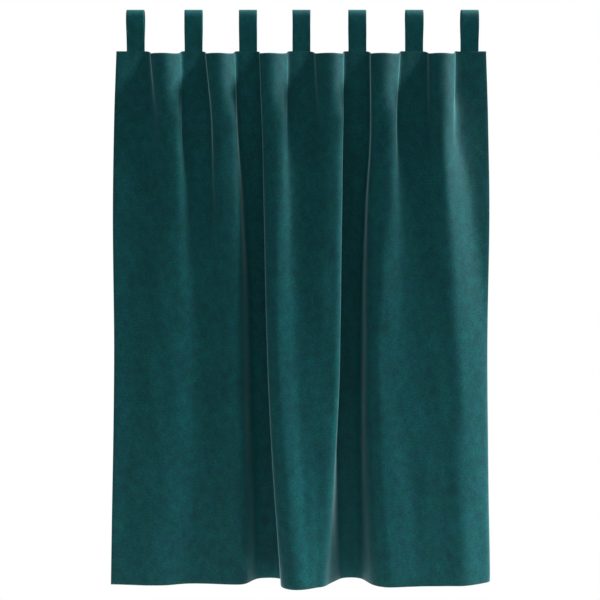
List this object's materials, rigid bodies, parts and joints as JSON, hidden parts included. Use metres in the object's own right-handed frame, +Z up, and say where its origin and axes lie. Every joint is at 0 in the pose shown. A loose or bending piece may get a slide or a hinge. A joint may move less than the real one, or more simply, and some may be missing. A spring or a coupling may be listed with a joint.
{
  "type": "tab-top velvet drape without tieback",
  "caption": "Velvet drape hung from fabric tab loops, falling open in soft, uneven vertical folds.",
  "frame": {"origin": "middle of the hanging line: the line along the inside of the tabs' crowns, which a rod's top touches, at the centre of the drape's width", "axes": "+X across the drape to the right seen from the front, -Y out of the front of the cloth, +Z up, from hem to tabs"},
  "size_m": [1.1549, 0.1276, 1.7503],
  "materials": {
    "drape_velvet": "deep teal cotton-look velvet with a short dense pile, dark face on and paler where it turns away",
    "tab_velvet": "the same deep teal velvet, folded over as a double strip"
  },
  "bodies": {
    "root": {"drape": "drape_velvet", "tab_1": "tab_velvet", "tab_2": "tab_velvet", "tab_3": "tab_velvet", "tab_4": "tab_velvet", "tab_5": "tab_velvet", "tab_6": "tab_velvet", "tab_7": "tab_velvet"}
  },
  "joints": []
}
